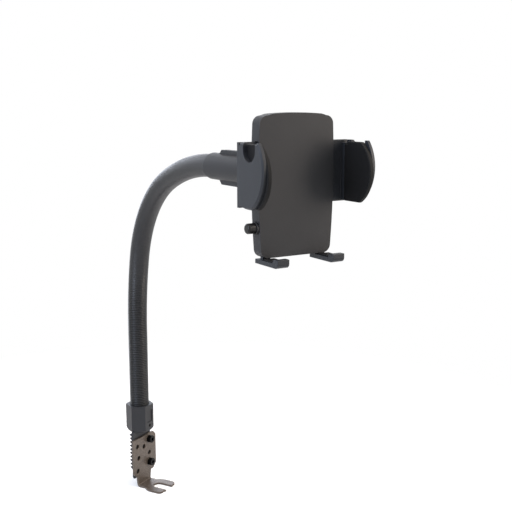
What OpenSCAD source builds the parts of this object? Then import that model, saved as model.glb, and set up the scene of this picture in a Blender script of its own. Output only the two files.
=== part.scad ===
// Seat rail phone mount: bent rail bracket, hexagonal collar, gooseneck,
// ball swivel and a cradle with two geared jaws and two feet.
// Millimetres, +Z up. Origin: centre of the slot's closed end, on the foot's underside.
// The cradle faces -Y.

/* [View] */
// Node to draw, or "all"

/* [Rail bracket] */
// Turn of the bracket and the collar about the upright, in degrees
base_turn = 30; // [0:5:60]
// Distance from the slot's closed end centre back to the neck's axis
slot_reach = 20; // [18:0.5:30]
// Thickness of the bent sheet
sheet_t = 2; // [1:0.1:2.5]
// Radius of the slot for the seat bolt
slot_r = 5; // [3:0.25:6]
// Radius of the foot's round end
foot_r = 13; // [11:0.25:15]
// Reach of the two prongs past the slot's closed end centre
prong_reach = 11; // [8:0.5:20]
// Inside radius of the sheet's bend
bend_r = 1; // [0.5:0.1:2]
// Width of the sheet across its bend
waist_w = 19; // [12:0.2:20]
// Width of the upright plate
plate_w = 35.4; // [32:0.2:40]
// Shift of the plate to the right of the neck's axis
plate_shift = 1.5; // [0:0.1:2]
// Height of the upright plate's top edge
plate_top = 47.8; // [44:0.2:53]
// Height at which the plate narrows into the strip that is bent
plate_low = 10.5; // [8:0.5:14]
// Width of that strip where it leaves the plate
strip_w = 21.4; // [16:0.2:28]
// Corner cut of the plate at its top
plate_cut = 4; // [1:0.5:6]
// Corner radius of the plate at its bottom
plate_round = 4.5; // [1:0.5:6]
// Radius of the spare holes
spare_hole_r = 2.35; // [1.5:0.05:2.6]
// Distance of the outer spare holes from the plate's side edges
spare_edge = 6; // [4:0.25:8]
// Distance of the inner spare holes from the plate's middle
spare_inner = 8.5; // [7:0.25:9]
// Depth of the outer spare hole below the plate's top edge
spare_drop = 7.4; // [5:0.2:9]
// Drop of the middle spare hole below the outer one
spare_step = 3; // [2:0.2:4]
// Height of the lowest spare hole above the plate's lower edge
spare_low = 5.6; // [4:0.2:7]

/* [Collar and tang] */
// Radius of the hexagonal collar across its corners
collar_r = 12.9; // [12.5:0.1:16]
// Height of the collar's underside above the foot's underside
collar_low = 54.4; // [54:0.2:64]
// Height of the collar
collar_h = 25.4; // [20:0.2:34]
// Chamfer round the collar's lower corners
collar_taper = 2.4; // [1:0.2:4]
// Floor left under the neck inside the collar
collar_floor = 4; // [2:0.5:6]
// Radial gap between the neck and the collar's bore
collar_gap = 0.3; // [0.05:0.05:0.4]
// Depth of the rectangular recess in the collar's front facet
recess_t = 0.6; // [0.3:0.1:1]
// Width of the recess
recess_w = 7.4; // [5:0.2:10]
// Height of the recess
recess_h = 11.5; // [5:0.5:12]
// Distance of the recess above the set screw
recess_lift = 1.8; // [1:0.1:2]
// Thickness of the tang's web
tang_t = 2.5; // [2:0.1:4]
// Length of the tang below the collar
tang_len = 45; // [42:0.5:48]
// Depth of the tang's teeth
tang_tooth = 2.8; // [1:0.2:3.6]
// Pitch of the tang's teeth
tang_pitch = 3.58; // [2:0.02:3.8]
// Number of teeth
tang_teeth = 10; // [4:1:10]

/* [Bracket fixings] */
// Thread radius of the bracket screws
fix_r = 2; // [1.5:0.1:2.2]
// Radius of the bracket screws' heads
fix_head_r = 3.5; // [3:0.1:4.2]
// Height of those heads
fix_head_h = 4; // [1.5:0.1:5]
// Length of the bracket screws past their nuts
fix_past = 1; // [0.5:0.1:2]
// Distance of the screws from the plate's middle
fix_side = 8.4; // [6:0.1:8.6]
// Height of the upper screw above the foot's underside
fix_high = 42.4; // [38:0.2:44]
// Spacing of the two screws
fix_span = 23; // [16:0.5:24]
// Nut size across its flats
nut_flats = 7; // [5.5:0.1:7.4]
// Nut thickness
nut_t = 3.2; // [2:0.1:4]
// Washer thickness
washer_t = 0.8; // [0.5:0.1:1]
// Washer radius
washer_r = 4; // [3.5:0.1:4.2]
// Clearance of the screws in their holes
fix_gap = 0.2; // [0.1:0.05:0.3]
// Thread radius of the collar's set screw
set_r = 1.5; // [1.5:0.1:2.5]
// Height of the set screw above the collar's underside
set_lift = 5.4; // [4.6:0.1:6]

/* [Gooseneck] */
// Outside radius of the neck
neck_r = 8.8; // [8:0.1:9]
// Height at which the neck starts to bend
rise = 152.4; // [120:0.2:200]
// Radius of the neck's first bend
low_bend_r = 295; // [150:5:400]
// Turn of the first bend, in degrees
low_bend_deg = 13.5; // [5:0.5:20]
// Radius of the main bend
mid_bend_r = 109; // [80:1:160]
// Turn of the main bend, in degrees
mid_bend_deg = 52.5; // [40:0.5:60]
// Radius of the last bend, which brings the neck level
top_bend_r = 199; // [100:1:260]

/* [Head] */
// Outside radius of the sleeve on the neck's end
sleeve_r = 10; // [9.9:0.1:12]
// Length of the sleeve
sleeve_len = 59; // [50:0.5:80]
// Radial gap between the neck and the sleeve's bore
sleeve_gap = 0.3; // [0.1:0.05:0.3]
// Depth of the neck in the sleeve
neck_in = 27; // [20:0.5:32]
// Height of the two ribs above the sleeve's axis
rib_reach = 12.7; // [11.5:0.1:13.2]
// Thickness of the ribs
rib_t = 5.4; // [4:0.2:8]
// Distance from the sleeve's nose to the ribs
rib_start = 11.2; // [6:0.2:20]
// Chamfer at the ribs' front ends
rib_chamfer = 2.5; // [1:0.5:4]
// Thread radius of the sleeve's set screw
head_screw_r = 1.5; // [1:0.1:1.8]

/* [Ball swivel] */
// Ball radius
ball_r = 8.5; // [8:0.1:9]
// Stem radius of the ball stud
stem_r = 4; // [3:0.1:4.2]
// Distance from the ball's centre to the sleeve
stem_reach = 17; // [17:0.5:24]
// Depth of the stud's shank in the sleeve
shank_len = 20; // [12:0.5:22]
// Distance from the ball's centre to the cradle's back
swivel_depth = 25; // [24:0.5:32]
// Wall of the liner round the ball
liner_t = 1.8; // [1.2:0.1:2]
// Running clearance of the ball and the liner
ball_fit = 0.08; // [0.03:0.01:0.1]
// Polar angle of the liner's edge at the stem's side, in degrees
liner_open = 49; // [48:1:56]
// Polar angle of the lock ring's lip, in degrees
lip_open = 47; // [46:1:48]
// Thread radius of the socket's barrel
barrel_r = 13.9; // [13.5:0.1:14.5]
// Outside radius of the lock ring
ring_r = 17.5; // [16.5:0.1:18]
// Reach of the lock ring past the ball's centre
ring_reach = 9.4; // [9:0.1:10]
// Number of grip flutes round the lock ring
ring_flutes = 18; // [12:2:24]
// Radius of the socket's base
socket_r = 16; // [15:0.1:18]
// Thickness of the socket's base
socket_t = 9; // [6:0.5:10]
// Radius of the circle of the socket's screws
socket_screw_circle = 11.5; // [11.4:0.1:12]
// Thread radius of those screws
socket_screw_r = 1.25; // [1:0.05:1.5]

/* [Cradle shell] */
// Half width of the cradle at its widest
body_half = 29; // [28.6:0.1:29.4]
// Height of the cradle's top above the swivel's axis
body_top = 40.6; // [38:0.2:48]
// Depth of the cradle's bottom below the swivel's axis
body_low = 51.5; // [51:0.2:60]
// Thickness of the cradle
body_t = 9; // [8.8:0.1:11]
// Thickness of the front cover
cover_t = 2; // [1.9:0.1:2.4]
// Wall thickness of the back shell
wall_t = 2; // [1.6:0.1:2.2]
// Corner radius of the cradle
corner_r = 5.5; // [4:0.5:7]
// Radius of the bow of the cradle's sides
side_bow_r = 637; // [500:10:1200]
// Radius of the arch of the cradle's top
top_arch_r = 230; // [150:10:600]
// Thread radius of the case screws
case_screw_r = 1; // [0.8:0.05:1.1]
// Radius of the cover's bosses for those screws
boss_r = 2.8; // [2.4:0.1:3]
// Distance of the upper case screws from the middle
case_x = 20; // [18:0.5:21]
// Distance of the lower case screws from the middle
case_low_x = 10; // [8:0.5:12]
// Distance of the upper case screws from the cradle's top
case_inset = 8.5; // [8:0.1:10]
// Distance of the lower case screws from the cradle's bottom
case_low_inset = 7.5; // [7:0.1:8]
// Head radius of the case and socket screws
screw_head_r = 1.9; // [1.8:0.05:2.1]
// Head height of those screws
screw_head_h = 1.1; // [0.9:0.05:1.2]

/* [Jaws] */
// Height of the jaws' middle above the swivel's axis
jaw_lift = 2.35; // [2:0.05:2.6]
// Height of the jaws
jaw_h = 40.7; // [38:0.1:42]
// Distance between the jaws' pads
jaw_open = 74; // [72:0.5:80]
// Thickness of a jaw's outer plate
ear_t = 3; // [2:0.1:4]
// Thickness of a jaw's pad
pad_t = 3; // [2:0.1:4]
// Reach of a jaw in front of the cradle's face
ear_reach = 27; // [24:0.2:32]
// Radius of a jaw's curved front edge
ear_edge_r = 27; // [25:0.5:34]
// Drop of a jaw at its front edge's centre, above the jaw's middle
ear_edge_lift = 3.1; // [0:0.1:5]
// Corner radius of a jaw's outer plate at its lower back
ear_round = 10; // [4:0.5:12]
// Bow of a jaw's back edge
ear_back_bow = 2; // [1:0.1:2.2]
// Bevel round a jaw's outer face
ear_bevel = 1.1; // [0.5:0.1:1.5]
// Radius of the notch in the top of the outer plate
notch_r = 7; // [4:0.25:8]
// Depth of the notch
notch_depth = 11.7; // [8:0.1:16]
// Distance of the notch's middle in front of the cradle's face
notch_reach = 11.4; // [10:0.1:12.5]
// Thickness of the sliding plates
slide_t = 2.4; // [1.6:0.1:2.6]
// Gap between the sliding plates and the case
slide_gap = 0.3; // [0.1:0.05:0.4]
// Width of a slide's wide end, inside the outer plate
slide_wide = 13; // [12:0.2:14]

/* [Gearing] */
// Gear module of the pinion and the racks
gear_module = 1; // [1:0.05:1.05]
// Number of teeth of the pinion
pinion_teeth = 12; // [12:4:12]
// Backlash of the gearing
backlash = 0.24; // [0.16:0.02:0.3]
// Radius of the pinion's pin
pinion_pin_r = 1.5; // [1:0.1:1.8]
// Running clearance of pins and the button's stem
pin_fit = 0.06; // [0.03:0.01:0.1]
// Thickness of the opening spring's strip
coil_t = 0.4; // [0.3:0.05:0.5]
// Number of turns of the opening spring
coil_turns = 2; // [1:0.5:2.5]

/* [Lock and release button] */
// Depth of the button's axis below the swivel's axis
button_drop = 32; // [31.5:0.1:33]
// Distance of the button's axis behind the cradle's face
button_depth = 4.4; // [4.3:0.05:4.5]
// Radius of the button's cap
button_r = 3.4; // [2.8:0.1:3.5]
// Reach of the button out of the cradle's side
button_reach = 7.5; // [6:0.1:9]
// Radius of the button's stem
rod_r = 1.1; // [0.9:0.05:1.2]
// Outside radius of the button's guide
guide_r = 4.1; // [4.1:0.05:4.2]
// Height of the guide outside the cradle
guide_h = 2; // [1.6:0.1:2.4]
// Travel of the button
button_travel = 1.2; // [0.8:0.1:1.3]
// Pitch of the ratchet teeth under the right slide
ratchet_pitch = 2; // [1.5:0.1:2.5]
// Depth of the ratchet teeth
ratchet_tooth = 1.2; // [0.8:0.1:1.4]
// Distance of the pawl's pivot to the right of the middle
pawl_x = 13; // [12:0.2:14]
// Reach of the pawl's tooth to the left of its pivot
pawl_reach = 10; // [9:0.2:11]
// Thickness of the pawl's arms
pawl_t = 2; // [1.6:0.1:2.4]
// Distance of the rib behind the button's spring from the middle
spring_rib_x = 18; // [17:0.2:19]
// Thickness of that rib
spring_rib_t = 1.6; // [1.2:0.1:2]
// Radius of the pawl's pin
pawl_pin_r = 1.2; // [0.8:0.1:1.4]

/* [Feet] */
// Distance of each foot from the middle
foot_side = 21.5; // [21:0.1:22]
// Width of a foot
foot_w = 9; // [7:0.2:10]
// Thickness of a foot's bar
foot_t = 3; // [2:0.1:4]
// Gap between a foot and the cradle's underside
foot_drop = 1.1; // [0.6:0.1:2]
// Reach of a foot in front of the cradle's face
foot_reach = 17.5; // [15:0.5:26]
// Height of a foot's lip above its bar
lip_h = 2.6; // [1.5:0.1:5]
// Thickness of the rubber on a foot
foot_pad_t = 1; // [0.6:0.1:1]
// Bare border round the rubber on a foot
foot_pad_edge = 0.6; // [0.4:0.1:1]
// Width of a foot's post
post_w = 6; // [4:0.2:6.4]
// Thickness of a foot's post
post_t = 3; // [2:0.1:3.2]
// Depth of a foot's post in the cradle
post_in = 15; // [14:0.2:15.4]

/* [Hidden] */
$fa = 6;
$fs = 0.6;
// Overlap that makes a cut run clear through
eps = 1;
// Gap between pieces that only face each other
gap = 0.3;
// Clearance of a screw's thread in its hole
thread_fit = 0.05;
// Facets round the neck
neck_sides = 48;
// Hairline between the neck's bends
neck_seam = 0.02;
// Width of the rails that carry the slides
rail_w = 2;
// Radial gap round the button's guide and spring, where they only pass through
loose_fit = 0.1;
// Half height of the rib behind the button's spring
rib_half = 4;
// Reach of a foot's bar behind its post
foot_past = 4;
// Depth at which the sleeve's ribs start inside its round
rib_sunk = 1.6;

// Upright: the neck's axis
neck_x = -slot_reach * sin(base_turn);
neck_y = slot_reach * cos(base_turn);
neck_low = collar_low + collar_floor;
collar_bore_r = neck_r + collar_gap;
collar_flat = collar_r * cos(30);

// Neck: centres and ends of the three bends, in the plane x = neck_x
heading_1 = low_bend_deg;
heading_2 = low_bend_deg + mid_bend_deg;
bend_1_y = neck_y - low_bend_r;
bend_1_z = rise;
joint_1_y = bend_1_y + low_bend_r * cos(heading_1);
joint_1_z = bend_1_z + low_bend_r * sin(heading_1);
bend_2_y = joint_1_y - mid_bend_r * cos(heading_1);
bend_2_z = joint_1_z - mid_bend_r * sin(heading_1);
joint_2_y = bend_2_y + mid_bend_r * cos(heading_2);
joint_2_z = bend_2_z + mid_bend_r * sin(heading_2);
nose_y = joint_2_y - top_bend_r * cos(heading_2);
head_z = joint_2_z - top_bend_r * sin(heading_2) + top_bend_r;

// Head, swivel and cradle along -Y
sleeve_end_y = nose_y - sleeve_len;
ball_y = sleeve_end_y - stem_reach;
face_y = ball_y - swivel_depth - body_t;
prong_r = (foot_r - slot_r) / 2;
plate_front = slot_reach - 2 * sheet_t;
tang_front = plate_front + sheet_t;
tang_back = tang_front + tang_t;
liner_in_r = ball_r + ball_fit;
liner_out_r = liner_in_r + liner_t;
seat_r = liner_out_r + ball_fit;
ring_in_r = barrel_r + thread_fit;
barrel_end = swivel_depth - gap / 2;

// Cradle, measured from its face and the swivel's axis
floor_in = body_t - wall_t;
slide_y = cover_t + slide_gap;
slide_back = slide_y + slide_t;
jaw_low = jaw_lift - jaw_h / 2;
jaw_top = jaw_lift + jaw_h / 2;
pad_in = jaw_open / 2;
ear_in = pad_in + pad_t;
ear_out = ear_in + ear_t;
pitch_r = gear_module * pinion_teeth / 2;
root_r = pitch_r - 1.25 * gear_module;
tip_r = pitch_r + 0.9 * gear_module;
base_r = pitch_r * cos(20);
rack_tip = pitch_r - 0.8 * gear_module;
rack_root = pitch_r + 1.25 * gear_module;
rack_pitch = PI * gear_module;
slide_end = 4 * rack_pitch + gear_module / 2;
slide_step = ear_out - slide_wide;
case_high = body_top - case_inset;
case_low = case_low_inset - body_low;
foot_top = -body_low - foot_drop;
foot_low = foot_top - foot_t;
rod_stop_x = pawl_x - pawl_t / 2 - gap / 3;
button_wall = side_at(-button_drop) - 0.4;
button_tip = side_at(-button_drop) + button_reach;
guide_tip = button_wall + guide_h;
// Inner face of the button's cap, and the floor that it stops above when pressed
cap_in = guide_tip - gap;
cap_floor = cap_in - button_travel - 2 * loose_fit;
// Outside radius of the guide's inner sleeve, and how far it reaches in past the wall
sleeve_in = rod_r + 1;
guide_in = wall_t + 1.4;
pawl_z = -button_drop + pitch_r;
spiral_in = pinion_pin_r + 1;
spiral_out = socket_screw_circle - screw_head_r - jaw_lift;

// Half width of the cradle's bowed outline at height z
function side_at(z) = body_half - side_bow_r + sqrt(side_bow_r ^ 2 - (z - jaw_lift) ^ 2);

// Height of the cradle's arched top at distance x from the middle
function top_at(x) = body_top - top_arch_r + sqrt(top_arch_r ^ 2 - x ^ 2);

// Quarter turn of points round a corner, from angle a
function corner_points(x, z, r, a) = [
    for (i = [0:8]) [x + r * cos(a + i * 90 / 8), z + r * sin(a + i * 90 / 8)]
];

// Points of the cradle's right side from low to high, inset from the outline
function side_points(inset) = let (low = -body_low + corner_r, high = top_at(body_half) - corner_r)
    [for (i = [1:9]) let (z = low + (high - low) * i / 10) [side_at(z) - inset, z]];

// Right half of the cradle's outline, from the bottom to the top
function half_outline(inset) = let (
    r = corner_r - inset,
    low = -body_low + corner_r,
    high = top_at(body_half) - corner_r,
    low_x = side_at(low) - corner_r,
    high_x = side_at(high) - corner_r
) concat(
    corner_points(low_x, low, r, -90),
    side_points(inset),
    corner_points(high_x, high, r, 0),
    [for (i = [1:6]) let (x = high_x * (1 - i / 6)) [x, top_at(x) - inset]]
);

function mirrored(points) = [for (i = [len(points) - 1:-1:0]) [-points[i][0], points[i][1]]];

// Involute rolling angle at radius r, in degrees
function roll(r) = r <= base_r ? 0 : let (a = acos(base_r / r)) tan(a) * 180 / PI - a;

// Half of a pinion tooth's angle at radius r
function tooth_half(r) = 90 / pinion_teeth - backlash / 2 / pitch_r * 180 / PI / 2 + roll(pitch_r) - roll(r);

// Turns a piece of the base about the upright; the plate's front faces -Y inside
module base_frame() {
    rotate([0, 0, base_turn])
        children();
}

// Origin at the cradle's face on the swivel's axis
module cradle_frame() {
    translate([neck_x, face_y, head_z])
        children();
}

// Origin at the ball's centre, +Z inside along the stem (+Y outside)
module swivel_frame() {
    translate([neck_x, ball_y, head_z])
        rotate([-90, 0, 0])
            children();
}

// Extrudes an x-z outline from y0 to y1
module slab_y(y0, y1) {
    translate([0, y1, 0])
        rotate([90, 0, 0])
            linear_extrude(y1 - y0)
                children();
}

// Extrudes a y-z outline from x0 to x1
module slab_x(x0, x1) {
    translate([x0, 0, 0])
        rotate([90, 0, 90])
            linear_extrude(x1 - x0)
                children();
}

// Box from one corner to the other
module block(low, high) {
    translate(low)
        cube(high - low);
}

// Cylinder along y from y0 to y1
module rod_y(x, z, r, y0, y1) {
    translate([x, y0, z])
        rotate([-90, 0, 0])
            cylinder(h = y1 - y0, r = r);
}

// Cylinder along x from x0 to x1
module rod_x(y, z, r, x0, x1) {
    translate([x0, y, z])
        rotate([0, 90, 0])
            cylinder(h = x1 - x0, r = r);
}

// Base

// The two bracket screws' places, [side, height]
function fix_places() = [[fix_side, fix_high], [fix_side, fix_high - fix_span]];

module spare_holes() {
    outer = plate_w / 2 - plate_shift - spare_edge;
    high = plate_top - spare_drop;
    mid = fix_high - fix_span / 2 - spare_hole_r;
    low = plate_low + spare_low;
    for (p = [[-outer, high], [0, high - spare_step], [spare_inner, mid], [-spare_inner, mid], [-outer, low]])
        rod_y(p[0], p[1], spare_hole_r, plate_front - eps, tang_front + eps);
}

module rail_bracket() {
    color("#6b625b")
        base_frame() {
            difference() {
                union() {
                    upright_plate();
                    bend_strip();
                    foot_plate();
                }
                spare_holes();
                for (p = fix_places())
                    rod_y(p[0], p[1], fix_r + fix_gap, plate_front - eps, tang_front + eps);
            }
        }
}

module upright_plate() {
    left = plate_shift - plate_w / 2;
    right = plate_shift + plate_w / 2;
    slab_y(plate_front, tang_front)
        polygon([
            [left, plate_low + plate_round], [left + plate_round, plate_low],
            [-strip_w / 2, plate_low], [-waist_w / 2, sheet_t + bend_r],
            [waist_w / 2, sheet_t + bend_r], [strip_w / 2, plate_low],
            [right - plate_round, plate_low], [right, plate_low + plate_round],
            [right, plate_top - plate_cut], [right - plate_cut, plate_top],
            [left, plate_top]
        ]);
}

// The quarter bend between the plate and the foot
module bend_strip() {
    low = [-waist_w / 2, plate_front - bend_r, 0];
    intersection() {
        block(low, [waist_w / 2, tang_front, sheet_t + bend_r]);
        difference() {
            rod_x(plate_front - bend_r, sheet_t + bend_r, sheet_t + bend_r, -waist_w, waist_w);
            rod_x(plate_front - bend_r, sheet_t + bend_r, bend_r, -waist_w - eps, waist_w + eps);
        }
    }
}

module foot_plate() {
    tip_y = prong_r - prong_reach;
    difference() {
        union() {
            linear_extrude(sheet_t)
                polygon([
                    [-waist_w / 2, plate_front - bend_r], [-waist_w / 2, foot_r - 2],
                    [-foot_r * sin(45), foot_r * cos(45)], [foot_r * sin(45), foot_r * cos(45)],
                    [waist_w / 2, foot_r - 2], [waist_w / 2, plate_front - bend_r]
                ]);
            cylinder(h = sheet_t, r = foot_r);
            block([-foot_r, tip_y, 0], [foot_r, 0, sheet_t]);
            for (x = [-1, 1])
                translate([x * (slot_r + prong_r), tip_y, 0])
                    cylinder(h = sheet_t, r = prong_r);
        }
        translate([0, 0, -eps])
            cylinder(h = sheet_t + 2 * eps, r = slot_r);
        block([-slot_r, -foot_r - prong_reach, -eps], [slot_r, 0, sheet_t + eps]);
    }
}

module base_collar() {
    color("#4b4b4d")
        base_frame()
            difference() {
                union() {
                    collar_hexagon();
                    tang();
                }
                translate([0, slot_reach, neck_low])
                    cylinder(h = collar_h, r = collar_bore_r);
                collar_recess();
                rod_y(0, collar_low + set_lift, set_r + thread_fit, slot_reach - collar_r, slot_reach);
                for (p = fix_places()) {
                    rod_y(p[0], p[1], fix_r + fix_gap, tang_front - eps, tang_back + eps);
                    nut_pocket(p);
                }
            }
}

// Hexagon with flats towards the plate, tapered at its lower corners
module collar_hexagon() {
    translate([0, slot_reach, collar_low])
        intersection() {
            cylinder(h = collar_h, r = collar_r, $fn = 6);
            rotate_extrude()
                polygon([
                    [0, 0], [collar_r - collar_taper, 0], [collar_r, collar_taper],
                    [collar_r, collar_h - collar_taper / 4], [collar_r - collar_taper / 4, collar_h],
                    [0, collar_h]
                ]);
        }
}

module collar_recess() {
    facet = slot_reach - collar_flat;
    low = collar_low + set_lift + set_r + recess_lift;
    block([-recess_w / 2, facet - eps, low], [recess_w / 2, facet + recess_t, low + recess_h]);
}

// Web with saw teeth on its back, in the plate's direction
module tang() {
    end = collar_low - tang_len;
    first = collar_low - 2;
    slab_x(-collar_r, collar_r)
        polygon(concat(
            [[tang_back, first + tang_pitch / 2]],
            [for (i = [0:tang_teeth - 1], side = [0, 1]) let (z = first - i * tang_pitch)
                [tang_back + (side == 0 ? tang_tooth : 0), z - side * tang_pitch / 2]],
            [
                [tang_back, end + tang_t / 2], [tang_back - tang_t / 3, end],
                [tang_front, end], [tang_front, collar_low + eps], [tang_back, collar_low + eps]
            ]
        ));
}

module nut_pocket(place) {
    half = washer_r + gap;
    block(
        [place[0] - half, tang_back, place[1] - half],
        [place[0] + half, tang_back + tang_tooth + eps, place[1] + half]
    );
}

module bracket_screws() {
    end = tang_back + washer_t + nut_t + fix_past;
    color("#2b2b2d")
        base_frame()
            for (p = fix_places()) {
                rod_y(p[0], p[1], fix_r, plate_front - eps / 2, end);
                difference() {
                    rod_y(p[0], p[1], fix_head_r, plate_front - fix_head_h, plate_front);
                    translate([p[0], plate_front - fix_head_h / 2, p[1]])
                        rotate([90, 0, 0])
                            cylinder(h = fix_head_h, r = fix_r * 0.9, $fn = 6);
                }
            }
}

module bracket_washers() {
    color("#9a9c9e")
        base_frame()
            for (p = fix_places())
                difference() {
                    rod_y(p[0], p[1], washer_r, tang_back, tang_back + washer_t);
                    rod_y(p[0], p[1], fix_r + fix_gap, tang_back - eps, tang_back + washer_t + eps);
                }
}

module bracket_nuts() {
    start = tang_back + washer_t;
    color("#9a9c9e")
        base_frame()
            for (p = fix_places())
                difference() {
                    translate([p[0], start, p[1]])
                        rotate([-90, 0, 0])
                            cylinder(h = nut_t, r = nut_flats / 2 / cos(30), $fn = 6);
                    rod_y(p[0], p[1], fix_r + thread_fit, start - eps, start + nut_t + eps);
                }
}

module collar_screw() {
    start = slot_reach - collar_flat + gap;
    color("#2b2b2d")
        base_frame()
            difference() {
                rod_y(0, collar_low + set_lift, set_r, start, slot_reach - neck_r - thread_fit);
                translate([0, start + 1, collar_low + set_lift])
                    rotate([90, 0, 0])
                        cylinder(h = 2, r = set_r / 2, $fn = 6);
            }
}

// Gooseneck

// One bend of the neck, from a heading by a turn, both in degrees from upright
module neck_bend(y, z, r, heading, turn) {
    seam_deg = neck_seam / r * 180 / PI;
    translate([neck_x, y, z])
        rotate([90, 0, 90])
            rotate([0, 0, heading])
                rotate_extrude(angle = turn - seam_deg, $fa = 2.5)
                    translate([r, 0])
                        circle(r = neck_r, $fn = neck_sides);
}

// Short core that joins two runs of the neck across the hairline between them
module neck_core(y, z, heading) {
    translate([neck_x, y, z])
        rotate([heading, 0, 0])
            translate([0, 0, -1])
                cylinder(h = 2, r = neck_r - 0.1, $fn = neck_sides);
}

// The wound core and its coating, drawn as one rod; its fine ribs are left to the render
module gooseneck() {
    color("#4a4c52") {
        translate([neck_x, neck_y, neck_low])
            cylinder(h = rise - neck_low - neck_seam, r = neck_r, $fn = neck_sides);
        neck_bend(bend_1_y, bend_1_z, low_bend_r, 0, low_bend_deg);
        neck_bend(bend_2_y, bend_2_z, mid_bend_r, heading_1, mid_bend_deg);
        neck_bend(nose_y, head_z - top_bend_r, top_bend_r, heading_2, 90 - heading_2);
        translate([neck_x, nose_y, head_z])
            rotate([90, 0, 0])
                cylinder(h = neck_in, r = neck_r, $fn = neck_sides);
        neck_core(neck_y, rise, 0);
        neck_core(joint_1_y, joint_1_z, heading_1);
        neck_core(joint_2_y, joint_2_z, heading_2);
        neck_core(nose_y, head_z, 90);
    }
}

// Head and swivel

module head_sleeve() {
    wall_y = nose_y - neck_in - gap;
    color("#4a4c50")
        difference() {
            union() {
                rod_y(neck_x, head_z, sleeve_r, sleeve_end_y, nose_y);
                sleeve_ribs();
            }
            rod_y(neck_x, head_z, neck_r + sleeve_gap, wall_y, nose_y + eps);
            rod_y(neck_x, head_z, stem_r + thread_fit, sleeve_end_y - eps, sleeve_end_y + shank_len);
            translate([neck_x, head_screw_y(), head_z - rib_reach - eps])
                cylinder(h = rib_reach, r = head_screw_r + thread_fit);
        }
}

function head_screw_y() = nose_y - neck_in / 2 - rib_start / 2;

// Ribs above and below the sleeve, chamfered at both ends
module sleeve_ribs() {
    foot_z = sleeve_r - rib_sunk;
    rise_y = rib_reach - foot_z;
    translate([neck_x, 0, head_z])
        slab_x(-rib_t / 2, rib_t / 2)
            polygon([
                [nose_y - rib_start, foot_z], [nose_y - rib_start - rise_y, rib_reach],
                [sleeve_end_y + rib_chamfer, rib_reach], [sleeve_end_y, rib_reach - rib_chamfer],
                [sleeve_end_y, rib_chamfer - rib_reach], [sleeve_end_y + rib_chamfer, -rib_reach],
                [nose_y - rib_start - rise_y, -rib_reach], [nose_y - rib_start, -foot_z]
            ]);
}

module head_screw() {
    color("#2b2b2d")
        translate([neck_x, head_screw_y(), head_z])
            difference() {
                translate([0, 0, gap - rib_reach])
                    cylinder(h = rib_reach - neck_r - 2 * gap, r = head_screw_r);
                translate([0, 0, -rib_reach])
                    cylinder(h = 1.6, r = head_screw_r / 2, $fn = 6);
            }
}

module ball_stud() {
    color("#a7a9ac")
        swivel_frame() {
            sphere(r = ball_r);
            cylinder(h = stem_reach + shank_len - gap, r = stem_r);
        }
}

module ball_liner() {
    low = liner_out_r * cos(125);
    high = liner_out_r * cos(liner_open);
    color("#e4e2da")
        swivel_frame()
            difference() {
                intersection() {
                    sphere(r = liner_out_r);
                    block([-liner_out_r, -liner_out_r, low], [liner_out_r, liner_out_r, high]);
                }
                sphere(r = liner_in_r);
                cylinder(h = liner_out_r, r = liner_in_r * sin(liner_open));
                block([0, -1, -liner_out_r], [liner_out_r + eps, 1, liner_out_r]);
            }
}

module lock_ring() {
    low = socket_t - swivel_depth + gap;
    lip_z = seat_r * cos(lip_open);
    lip_r = seat_r * sin(lip_open);
    color("#2f3032")
        swivel_frame()
            difference() {
                translate([0, 0, low])
                    cylinder(h = ring_reach - low, r = ring_r);
                translate([0, 0, low - eps])
                    cylinder(h = eps - low, r = ring_in_r);
                sphere(r = seat_r);
                cylinder(h = lip_z + eps, r = lip_r);
                translate([0, 0, lip_z])
                    cylinder(h = ring_reach - lip_z, r1 = lip_r, r2 = lip_r + ring_reach - lip_z);
                for (i = [0:ring_flutes - 1])
                    rotate([0, 0, i * 360 / ring_flutes])
                        translate([ring_r + 0.7, 0, low - eps])
                            cylinder(h = ring_reach - low + 2 * eps, r = 1.5);
            }
}

module ball_socket() {
    color("#333436")
        swivel_frame()
            translate([0, 0, -swivel_depth])
                difference() {
                    union() {
                        cylinder(h = socket_t, r = socket_r);
                        cylinder(h = barrel_end, r = barrel_r);
                    }
                    translate([0, 0, swivel_depth])
                        sphere(r = seat_r);
                    socket_screw_places()
                        translate([0, 0, -eps])
                            cylinder(h = socket_t - 1 + eps, r = socket_screw_r + thread_fit);
                }
}

module socket_screw_places() {
    for (a = [45:90:315])
        rotate([0, 0, a])
            translate([socket_screw_circle, 0, 0])
                children();
}

module socket_screws() {
    color("#8d8f92")
        swivel_frame()
            translate([0, 0, -swivel_depth])
                socket_screw_places() {
                    translate([0, 0, -wall_t - 0.5])
                        cylinder(h = wall_t + socket_t - 1.5, r = socket_screw_r);
                    difference() {
                        translate([0, 0, -wall_t - screw_head_h])
                            cylinder(h = screw_head_h, r = screw_head_r);
                        cross_slot(-wall_t - screw_head_h);
                    }
                }
}

// Cross drive cut from height z upwards
module cross_slot(z) {
    for (a = [0, 90])
        rotate([0, 0, a])
            translate([0, 0, z + 0.2])
                cube([2 * screw_head_r * 0.6, 0.5, 1], center = true);
}

// Cradle shell

module cradle_outline(inset) {
    points = half_outline(inset);
    polygon(concat(points, mirrored(points)));
}

// Places of the four case screws, [x, z]
function case_places() = [
    [-case_x, case_high], [case_x, case_high], [-case_low_x, case_low], [case_low_x, case_low]
];

module cradle_back() {
    color("#484a4d")
        cradle_frame()
            difference() {
                union() {
                    difference() {
                        slab_y(cover_t, body_t)
                            cradle_outline(0);
                        slab_y(cover_t - eps, floor_in)
                            cradle_cavity();
                    }
                    slide_rails();
                    spring_rib();
                }
                slide_windows();
                post_windows();
                button_hole(cover_t);
                shell_screw_holes();
                rod_y(0, jaw_lift, pinion_pin_r + thread_fit, floor_in - eps, body_t - 0.8);
                rod_y(pawl_x, pawl_z, pawl_pin_r + thread_fit, floor_in - eps, body_t - 0.8);
            }
}

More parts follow.
